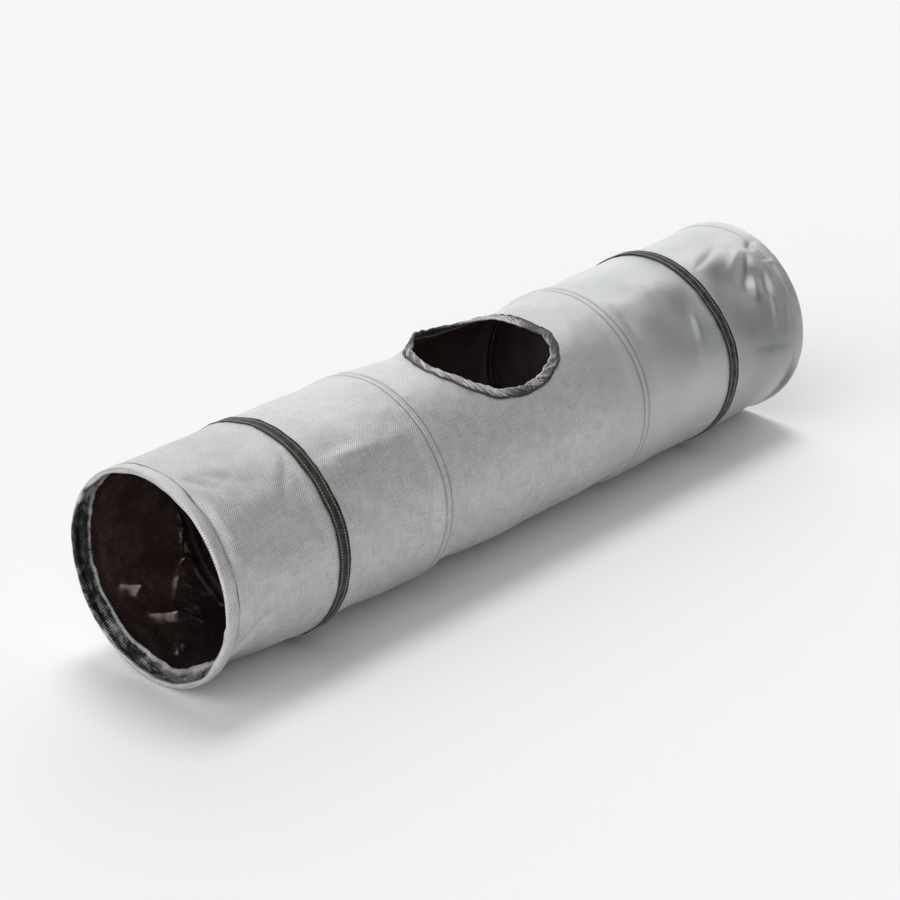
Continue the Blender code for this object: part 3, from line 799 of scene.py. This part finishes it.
def makeBay(bay, seed):
    facts = bays[bay]
    body = bodyOf(facts["ends"][0])
    span = spanOf(bay, "Cloth")
    cloth, x, turn = bayTube(bay, "Cloth", span, facts["cloth"], True)
    writeSpots(cloth, onRound(x, turn, clothRadius(x, turn)))
    thicken(cloth, tunnel["clothThick"])
    dress(cloth, silver, body, (facts["stem"] + "_panel",), bay)
    sheetOf(cloth, *span, bay)
    # painted shade on the panel's outer face
    paintOn(cloth, "dim", paintedShadeOf(*layOut(cloth)))

    low, high = span = spanOf(bay, "Crinkle")
    sheet, x, turn = bayTube(bay, "Crinkle", span, facts["lining"], False)
    coarse = crumple(low, high, lining["coarse"], 31 + seed)(x, turn)
    fine = crumple(low, high, lining["fine"], 32 + seed)(x, turn)
    ends = swell(np.minimum(x - low, high - x), 0.004, 0.024)
    for rim in ("frontRim", "rearRim"):  # flat under a hem's inner leg
        ends = ends * swell(np.abs(x - tunnel[rim]), 0.036, 0.056)
    ease = 1 - 0.8 * swell(np.cos(turn), 0.3, 0.9)  # the top lies smoother
    calm = 1 - 0.75 * swell(wander(x, turn, 0.1, 9 + seed), -0.1, 0.35)
    if bay == "middle":
        ends = ends * swell(holeSpot(x, turn)[0], 0.01, 0.05)
    slow = swell(x - tunnel["frontRim"], 0.03, 0.105)  # it only starts to billow past the hem
    tiny = crumple(low, high, lining["tiny"], 33 + seed)(x, turn) if bay == "frontEnd" else 0
    inward = lining["deep"] * coarse * slow * (0.45 + 0.55 * ease) + lining["shallow"] * fine * calm * ease
    inward = ends * inward * (1.0 if facts["lively"] else lining["calmShare"])
    inward = inward + ends * (filmStands(x, turn) + lining["crisp"] * tiny)
    writeSpots(sheet, onRound(x, turn, clothRadius(x, turn) - tunnel["liningDrop"] - inward))
    thicken(sheet, tunnel["liningThick"])
    # the calm bays take the film's lit copy
    finish = film if facts["lively"] else filmLitCopy
    dress(sheet, finish, body, (facts["stem"] + "_lining",), bay)
    x, turn = layOut(sheet)
    # painted shade: the lining is darker low down in the front end
    paintOn(sheet, "shade", 0.9 * swell(-np.cos(turn), 0.45, 0.92) * (x < -0.4))
    sheetOf(sheet, low, high, bay)
    print("bay made:", bay)


for place, bay in enumerate(bays):
    makeBay(bay, place * 10)


# hems, tapes and casings

hem = {"thick": 0.0008, "around": 520, "station": 0.001, "stitchesIn": 0.0186}
# the hem's section from its outer stitch line, round the hoop at the rim, to its loose inner edge
hemPath = laidOut([
    (20, 148.55), (19.4, 148.5), (18, 148.58), (14, 148.6), (9.5, 148.58), (6, 148.56), (3.6, 148.45),
    (2, 148.15), (1, 147.55), (0.5, 146.7), (0.4, 145.7), (0.5, 144.75), (1, 143.9), (2, 143.35),
    (3.6, 143.1), (5.2, 143.15), (6.6, 143.6), (7.8, 144.5), (9, 145.45), (10.8, 146), (13.5, 146.1),
    (16.5, 146.1), (20, 146.1), (23.5, 146.1), (26.5, 146.1), (29, 146.1), (30, 146.1)])
# on the front rim: a valley along its outer face near the top, and where the rim sags low on the near side
valley = aroundTable([(-180, 0), (-45, 0), (-12, 0.4), (18, 0.7), (36, 0.4), (52, 0), (150, 0)])
rimJog = aroundTable([
    (-180, 0), (0, 0), (30, 1), (44, -0.6), (62, 0.8), (80, -0.6), (97, -0.8), (102, 3.2), (112, 2.6),
    (124, 4), (134, 0), (150, 1.4), (165, 0)])


def makeHem(name, ring, way, seed):
    rim, count = tunnel[ring], len(hemPath)
    tube = openTube(name, [rim + way * hem["station"] * k for k in range(count)], 0.149, hem["around"])
    x, turn = layOut(tube)
    k = np.clip(np.round((x - rim) / (way * hem["station"])).astype(int), 0, count - 1)
    inset, radius = np.array(hemPath)[k].T
    spread = wander(0, turn, 0.05, seed)
    lower = bell(np.abs(turn), np.pi, 0.75)
    leg = np.clip((inset - 0.0108) / 0.0192, 0, 1) * (k > 15)  # 0 to 1 down the loose inner leg
    inset = inset + leg * (0.0056 * lower - 0.004 + 0.0014 * wander(0, turn, 0.03, seed + 1))
    outward = np.where(k < 7, 1.0, 0.0)
    bend = clothRadius(rim + way * (inset + 0.002), turn) - tunnel["clothOuter"]
    pleat = wander(inset * 0.7 + turn * 0.02, turn, 0.01, seed + 2)
    broad = wander(inset * 0.5, turn, 0.024, seed + 3)
    flap = bell(np.degrees(turn), way * 158, 13)  # a flap sags low on the near side
    # the loose edge stands up
    turnUp = swell(leg, 0.66, 0.97) * (0.0014 + 0.0032 * lower + 0.0016 * broad + 0.006 * flap)
    rumple = 0.0005 + 0.002 * np.clip(pleat + 0.1, 0, 1) + 0.0016 * np.clip(broad + 0.1, 0, 1)
    radius = radius - (turnUp + swell(leg, 0.02, 0.25) * rumple) + outward * bend * (inset / 0.02) ** 1.6
    radius += (k > 19) * swell(leg, 0.0, 0.3) * np.minimum(bend, 0)
    radius += 0.00045 * wander(inset * 0.5, turn, 0.016, seed + 4) * outward * swell(inset, 0.004, 0.01)
    if way > 0:
        radius -= valley(turn) * bell(inset, 0.0092, 0.0028) * outward
        radius -= rimJog(turn) * np.clip(1 - np.abs(k - 13) / 7, 0, 1)
    roll = np.clip(1 - np.abs(k - 10) / 6, 0, 1)
    radius -= np.clip(1 - np.abs(k - 13) / 5, 0, 1) * 0.0018 * (0.45 + wander(0, turn, 0.026, seed + 6))
    inset += hemShift(turn, way) * np.clip(1 - k / 5, 0, 1)
    inset = inset - roll * (0.0008 + 0.0014 * spread + 0.0008 * wander(0, turn, 0.016, seed + 5))
    writeSpots(tube, onRound(rim + way * inset, turn, radius))
    # painted shade for the hem's inner leg: it starts near the rim, is darkest on the far side, is lighter up
    # towards the top on the far side and low down, and fades on the loose edge
    farSide = 1 - swell(np.cos(turn - math.radians(88)), -0.72, -0.2)  # the dark starts at the rim there
    start = 12.8 - 4.0 * farSide
    upper = bell(np.degrees(turn), -48, 22) * (way > 0)
    darkest = bell(np.degrees(turn), -88, 20) * (way > 0)
    paintedLegShade = 0.98 + 0.7 * broad - 0.55 * upper + 0.75 * darkest - 0.16 * lower
    paintedLegShade *= swell(k, start, start + 2.2) * (1 - (0.68 - 0.16 * lower) * swell(leg, 0.62, 0.8))
    paintOn(tube, "paintedLegShade", np.clip(paintedLegShade, 0, 1.7))
    # painted shade on the hem's outer face, as on the panels
    paintOn(tube, "dim", paintedShadeOf(rim + way * inset, turn) * outward)
    faceOut(tube)
    applyModifier(tube, "SOLIDIFY", thickness=hem["thick"], offset=0.0, use_rim=True)
    faceOut(tube)
    dress(tube, silver, bodyOf(ring), (name.replace("HemCloth", "_hem"),))


makeHem("frontHemCloth", "frontRim", 1, 41)
makeHem("rearHemCloth", "rearRim", -1, 51)
print("hems made")

tape = {"width": 0.02, "inner": 0.14925, "thick": 0.00065, "around": 360, "bevel": 0.00012}


def tapeLift(x, turn):  # 1 where a tape lies on the floor, and how far the cloth lifts it
    under = swell(-np.cos(turn), 0.85, 0.98)
    return under, np.maximum(clothRadius(x, turn) - tunnel["clothOuter"], 0) * (1 - under)


def makeTape(ring, seed):
    half = tape["width"] / 2
    outer = [0.25, 0.42, 0.53, 0.64, 0.78, 0.9, 0.965, 1]
    rows = [-r for r in reversed(outer)] + [0] + outer
    tube = openTube(ring + "Band", [tunnel[ring] + half * r for r in rows], 0.15, tape["around"])
    x, turn = layOut(tube)
    off = (x - tunnel[ring]) / half
    edges = 0.0012 * wander(off * 0.02, turn, 0.018, seed) * np.abs(off)
    x = x + drifts[ring](turn) + edges + 0.0014 * wander(0, turn, 0.03, seed + 1)
    under, rise = tapeLift(x, turn)
    curl = 0.00035 * np.clip((np.abs(off) - 0.86) / 0.14, 0, 1)
    sewn = 0.00028 * bell(np.abs(off), 0.54, 0.09)
    puff = 0.00022 * np.clip(wander(off * 0.006, turn, 0.006, seed + 2), -0.5, 1)
    radius = tape["inner"] + tape["thick"] + rise + (curl - sewn + puff + 0.0001) * (1 - under)
    writeSpots(tube, onRound(x, turn, np.minimum(radius, 0.15 + 0.0012 * (1 - under))))
    # darker along both edges and down the middle, paler in wandering worn patches
    lines = bell(np.abs(off), 0.93, 0.1) + 0.5 * bell(off, 0, 0.16)
    worn = np.clip(wander(off * 0.02, turn, 0.01, seed + 3), -0.5, 1)
    paintOn(tube, "wearAndPaintedLight", 0.55 - 0.6 * np.clip(lines, 0, 1) + 0.7 * worn)
    thicken(tube, tape["thick"])
    applyModifier(tube, "BEVEL", width=tape["bevel"], segments=2, limit_method="ANGLE",
                  angle_limit=math.radians(50))
    dress(tube, tapeCloth, bodyOf(ring), (rings[ring],))


makeTape("frontTape", 61)
makeTape("rearTape", 64)

casing = {"thick": 0.0005, "flange": 0.1463, "crown": 0.14315, "taped": 0.01, "plain": 0.0082,
          "flat": 0.0044, "around": 320}


def makeCasing(ring, seed):  # a crown over the wire hoop with a ruffled flange on each side
    half, flat = casing["taped" if "Tape" in ring else "plain"], casing["flat"]
    marks = [0.0, 0.0018, 0.0025, 0.003, 0.0036, flat]
    marks += [flat + (half - flat) * k / 5 for k in range(1, 6)]
    across = [-m for m in reversed(marks[1:])] + marks
    tube = openTube(ring + "Ruffle", [tunnel[ring] + m for m in across], 0.146, casing["around"])
    x, turn = layOut(tube)
    off = x - tunnel[ring]
    crown = 1 - swell(np.abs(off), 0.002, 0.0042)
    flange = np.clip((np.abs(off) - flat) / (half - flat), 0, 1)
    ruffle = np.abs(wander(off * 0.6, turn, 0.0085, seed))
    pucker = np.abs(wander(off, turn, 0.012, seed + 1))
    radius = casing["flange"] - (casing["flange"] - casing["crown"]) * crown
    radius -= flange ** 1.5 * (0.0006 + 0.0016 * ruffle) + 0.0005 * pucker * crown
    x = x + flange * (drifts[ring](turn) + 0.0009 * wander(0, turn, 0.015, seed + 2))
    writeSpots(tube, onRound(x, turn, radius))
    thicken(tube, casing["thick"])
    dress(tube, casingCloth, bodyOf(ring), (rings[ring] + "_casing",))


for ring, seed in zip(drifts, (71, 74, 77, 80)):
    makeCasing(ring, seed)
print("tapes and casings made")


# the peep hole's folded binding

binding = {"around": 256, "top": 0.00015, "thick": 0.0006, "under": 0.0021}  # the torus takes 256 at most
# painted sheen round the hole: how much painted light the binding's colour gets at each place, paler where it
# faces the light and darker where it turns away
bindingPaintedSheen = aroundTable([
    (-180, 0.9), (-160, 0.7), (-148, 0.15), (-60, 0.15), (-48, 0.9), (-25, 1.15), (-8, 0.9), (8, 0.35),
    (35, 0.45), (60, 0.85), (95, 0.75), (120, 0.95), (160, 1.1)], 1)


def makeBinding():
    # its section is a flat U: outer leg, fold at the hole's edge, inner leg, and back along the inside
    t, w = binding["thick"], hole["width"]
    lid, foot = binding["top"] + t, -binding["under"] - t
    mid, half = (lid + foot) / 2, (lid - foot) / 2
    section = [(w, lid - 0.0001)] + [(w * k, lid) for k in (0.97, 0.88, 0.76, 0.62, 0.48, 0.36, 0.24, 0.15)]
    section += [(half * (1 - math.cos(a)), mid + half * math.sin(a)) for a in
                (math.radians(d) for d in (62, 30, 0, -30, -62))]
    section += [(w * k, foot) for k in (0.15, 0.4, 0.7, 1)] + [(w * k, foot + t) for k in (1, 0.6, 0.2)]
    section += [(half, foot + t + 0.0001), (t, mid), (half, lid - t - 0.0001)]
    section += [(w * k, lid - t) for k in (0.2, 0.6, 1)]
    letGo()
    middle, depth = hole["clear"] + w / 2, tunnel["axisHeight"] * 2
    bpy.ops.mesh.primitive_torus_add(
        major_segments=binding["around"], minor_segments=len(section), major_radius=middle,
        minor_radius=w / 2, location=(hole["x"], 0, depth))
    ring = settle("peepHoleRim")
    applyModifier(ring, "SUBSURF", subdivision_type="SIMPLE", levels=1, render_levels=1)
    spots = readSpots(ring)
    way = np.arctan2(spots[:, 1], spots[:, 0] - hole["x"])
    minor = np.arctan2(spots[:, 2] - depth, np.hypot(spots[:, 1], spots[:, 0] - hole["x"]) - middle)
    step = (minor / (2 * math.pi)) % 1 * len(section)  # the ring's round section becomes the flat U
    out, up = (np.interp(step, range(len(section) + 1), [*side, side[0]]) for side in zip(*section))

    def pucker(size, seed, skew=0.0):
        reach = 0.12 / size
        return np.array([noise.noise(Vector((reach * math.cos(a + q * skew), reach * math.sin(a + q * skew),
                                             seed + q / size * 0.3))) for a, q in zip(way, out)])

    top = np.clip((up - mid) / half, 0, 1)
    share = out / w
    fold = np.clip(pucker(0.0062, 3.0, 15.0) + 0.12, 0, 1)
    swellUp = 0.002 * fold + 0.0012 * np.clip(pucker(0.016, 9.0, 6.0), 0, 1)
    sewn = bell(share, 0.84, 0.07)
    up = up + top * swellUp * (1 - 0.85 * sewn) - top * 0.00015 * sewn
    up = up + 0.0012 * pucker(0.02, 14.0) * (1 - share)
    jog = 0.0019 * pucker(0.01, 21.0) * (1 - 0.7 * share) + 0.0014 * pucker(0.035, 25.0)
    x, turn = holeEdge(way, out * bindingSpan(way) * (1 + 0.1 * pucker(0.03, 31.0)) + jog)
    writeSpots(ring, onRound(x, turn, clothRadius(x, turn) + up))
    # painted light on the binding: painted highlights on its raised folds, on its inner half and on the fold
    # at the hole's edge, painted shade along its outer edge, all scaled round the hole by the painted sheen
    paintedSheen = bindingPaintedSheen(way)
    inner = 1 - swell(share, 0.3, 0.66)
    wearAndPaintedLight = top * (0.18 + 0.9 * fold + 0.16 * inner) * paintedSheen + 0.6 * bell(share, 0, 0.08) * paintedSheen
    wearAndPaintedLight = np.maximum(wearAndPaintedLight - 1.6 * bell(share, 0.96, 0.12), -0.7) - 0.35 * (1 - paintedSheen) * top
    paintOn(ring, "wearAndPaintedLight", wearAndPaintedLight)
    faceOut(ring)
    dress(ring, bindingCloth, "front_seam_ring", ("peep_hole_binding",), "middle")


makeBinding()
print("binding made")


# stitches: one is modelled, then each row is filled with copies of it

def oneStitch():
    letGo()
    bpy.ops.mesh.primitive_cylinder_add(
        vertices=6, radius=0.5, depth=1.0, end_fill_type="NGON", rotation=(0, math.pi / 2, 0))
    stitch = settle("stitch")
    cutAcross(stitch, 1.0, 3)
    spots = readSpots(stitch)
    along = spots[:, 0] * 2
    girthHere = np.sqrt(np.clip(1 - 0.72 * along ** 2, 0, 1))
    spots[:, 1] *= girthHere
    spots[:, 2] = spots[:, 2] * girthHere - 0.9 * along ** 2 + 0.25
    faces = [tuple(face.vertices) for face in stitch.data.polygons]
    bpy.data.objects.remove(stitch)
    return spots, faces


stitchSpots, stitchFaces = oneStitch()


def sewRows(name, rows, material, body, bay=None, thick=seams["thread"]):
    # each row is (points, normals) along the sewing line, dense and in order
    allSpots, allFaces = [], []
    size = stitchSpots * (seams["stitch"], thick, thick)
    for points, normals in rows:
        steps = np.linalg.norm(np.diff(points, axis=0), axis=1)
        run = np.concatenate([[0], np.cumsum(steps)])
        count = int(run[-1] / seams["pitch"])

        def read(table, where):
            return np.array([np.interp(where, run, column) for column in table.T])

        for k in range(count):
            at = (k + 0.5) * run[-1] / count
            tangent = read(points, at + 0.0008) - read(points, at - 0.0008)
            tangent /= np.linalg.norm(tangent)
            side = np.cross(read(normals, at), tangent)
            side /= np.linalg.norm(side)
            lift = np.cross(tangent, side)
            skew = 0.06 * math.sin(k * 12.9898)
            tangent, side = tangent + side * skew, side - tangent * skew
            base = len(allSpots) * len(stitchSpots)
            turned = size[:, :1] * tangent + size[:, 1:2] * side + size[:, 2:3] * lift
            allSpots.append(read(points, at) + turned)
            allFaces += [tuple(i + base for i in face) for face in stitchFaces]
    mesh = bpy.data.meshes.new(name)
    mesh.from_pydata(np.concatenate(allSpots).tolist(), [], allFaces)
    piece = bpy.data.objects.new(name, mesh)
    bpy.context.scene.collection.objects.link(piece)
    faceOut(piece)
    dress(piece, material, body, (), bay)


def sewingLine(x, turn, radius):
    return onRound(x, turn, radius), outwards(turn)


def roundRow(x, radius, count=720):  # x is a function of the turn, radius a number or a function of both
    turn = np.linspace(-math.pi, math.pi, count)
    xs = x(turn)
    return sewingLine(xs, turn, radius(xs, turn) if callable(radius) else np.full(count, radius))


def twinRows(ring, half, drift, radius):
    return [roundRow(lambda turn, off=off: tunnel[ring] + off + drift(turn), radius) for off in (-half, half)]


def onCloth(lift):
    return lambda x, turn: clothRadius(x, turn) + lift


def onTape(x, turn):
    under, rise = tapeLift(x, turn)
    return tape["inner"] + tape["thick"] - 0.0001 * (1 - under) - 0.0004 * under + rise


def inwardRows(rows):  # stitches seen from inside the tunnel
    return [(points, -normals) for points, normals in rows]


for ring in ("frontTape", "rearTape"):
    rows = twinRows(ring, seams["tapeRowApart"] / 2, drifts[ring], onTape)
    sewRows(ring + "Stitching", rows, paleThread, bodyOf(ring), None, seams["tapeThread"])
for ring in ("frontSeam", "rearSeam"):
    rows = twinRows(ring, seams["rowApart"] / 2, seamDrift, onCloth(-0.00005))
    sewRows(ring + "Stitching", rows, greyThread, bodyOf(ring))
for ring, way in (("frontRim", 1), ("rearRim", -1)):
    def line(turn):
        return tunnel[ring] + way * (hem["stitchesIn"] + hemShift(turn, way))
    rows = [roundRow(line, onCloth(-0.0001))]
    sewRows(ring.replace("Rim", "HemStitching"), rows, silverThread, bodyOf(ring))
for ring, drift in drifts.items():
    taped = "Tape" in ring
    rows = twinRows(ring, casing["taped"] * 0.56 if taped else seams["rowApart"] / 2,
                    lambda turn: drift(turn) * 0.5, casing["flange"] - 0.0009)
    sewRows(ring + "InnerStitching", inwardRows(rows), maroonThread if taped else roseThread,
            bodyOf(ring), None, seams["innerThread"])
ways = np.linspace(-math.pi, math.pi, 900)
x, turn = holeEdge(ways, hole["width"] * 0.85 * bindingSpan(ways))
rows = [sewingLine(x, turn, clothRadius(x, turn) + binding["top"] + binding["thick"] - 0.0001)]
sewRows("peepHoleStitching", rows, greyThread, "front_seam_ring", "middle")
x, turn = holeEdge(ways, hole["width"] * 0.8 * bindingSpan(ways))
radius = clothRadius(x, turn) - binding["under"] - binding["thick"] - 0.0006
rows = inwardRows([sewingLine(x, turn, radius)])
sewRows("peepHoleInnerStitching", rows, paleThread, "front_seam_ring", "middle",
        seams["holeThread"])
for bay, facts in bays.items():  # the lengthwise join of each panel, low on the far side
    low, high = spanOf(bay, "Cloth")
    x = np.linspace(low + 0.012, high - 0.012, 200)
    turns = [np.full(200, turn) for turn in seams["joinTurns"]]
    rows = [sewingLine(x, turn, clothRadius(x, turn)) for turn in turns]
    sewRows(bay + "JoinStitching", rows, greyThread, bodyOf(facts["ends"][0]), bay)
print("stitches made")


# hoops and sleeves keep their own solids

for name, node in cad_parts.items():
    if name.endswith("_hoop") or name.endswith("_crimp"):
        steel = wireSteel if name.endswith("_hoop") else sleeveSteel
        for slot in node.material_slots:
            slot.material = steel
        if not node.material_slots:
            node.data.materials.append(steel)


# floor, light and surroundings

room = {"sunPower": 1.08, "sunSpread": 21, "sunFrom": (0.25, 0.175, 0.945), "floor": 0.915, "softness": 6.0,
        "glow": (1.0, 0.998, 0.992), "backdrop": (0.92, 0.92, 0.918)}
# soft windows round the room: degrees from +X towards +Y, degrees up, brightness
windows = [(45, 18, 2.1), (180, 18, 1.5), (180, 50, 1.1), (225, 18, 0.38), (270, 18, 0.3)]
letGo()
bpy.ops.mesh.primitive_plane_add(size=24, location=(0, 0, -0.0004))
floor = bpy.context.object
floor.name = "floor"
floor.data.materials.append(paperFloor(room["floor"]))
letGo()
bpy.ops.object.light_add(type="SUN", location=(0, 0, 3))
sun = bpy.context.object
sun.data.energy = room["sunPower"]
sun.data.angle = math.radians(room["sunSpread"])
sun.rotation_mode = "QUATERNION"
sun.rotation_quaternion = Vector(room["sunFrom"]).to_track_quat("Z", "Y")
sky = Paint("paleRoom", bpy.data.worlds)
bpy.context.scene.world = sky.material
outward, shine = sky.add("ShaderNodeTexCoord", {}, {}, "Generated"), 0.0
for heading, height, bright in windows:
    heading, height = math.radians(heading), math.radians(height)
    towards = (math.cos(height) * math.cos(heading), math.cos(height) * math.sin(heading), math.sin(height))
    facing = outward.sum("DOT_PRODUCT", towards)
    shine = (facing * room["softness"] - room["softness"]).sum("EXPONENT") * bright + shine
glow = sky.add("ShaderNodeBackground", {}, {"Color": room["glow"], "Strength": shine})
pale = sky.add("ShaderNodeBackground", {}, {"Color": room["backdrop"]})
seen = sky.add("ShaderNodeLightPath", {}, {}, "Is Camera Ray")
both = sky.add("ShaderNodeMixShader", {}, {0: seen, 1: glow, 2: pale})
sky.put(sky.tree.nodes["World Output"].inputs["Surface"], both)
bpy.context.scene.view_settings.view_transform = "Standard"
print("room set")
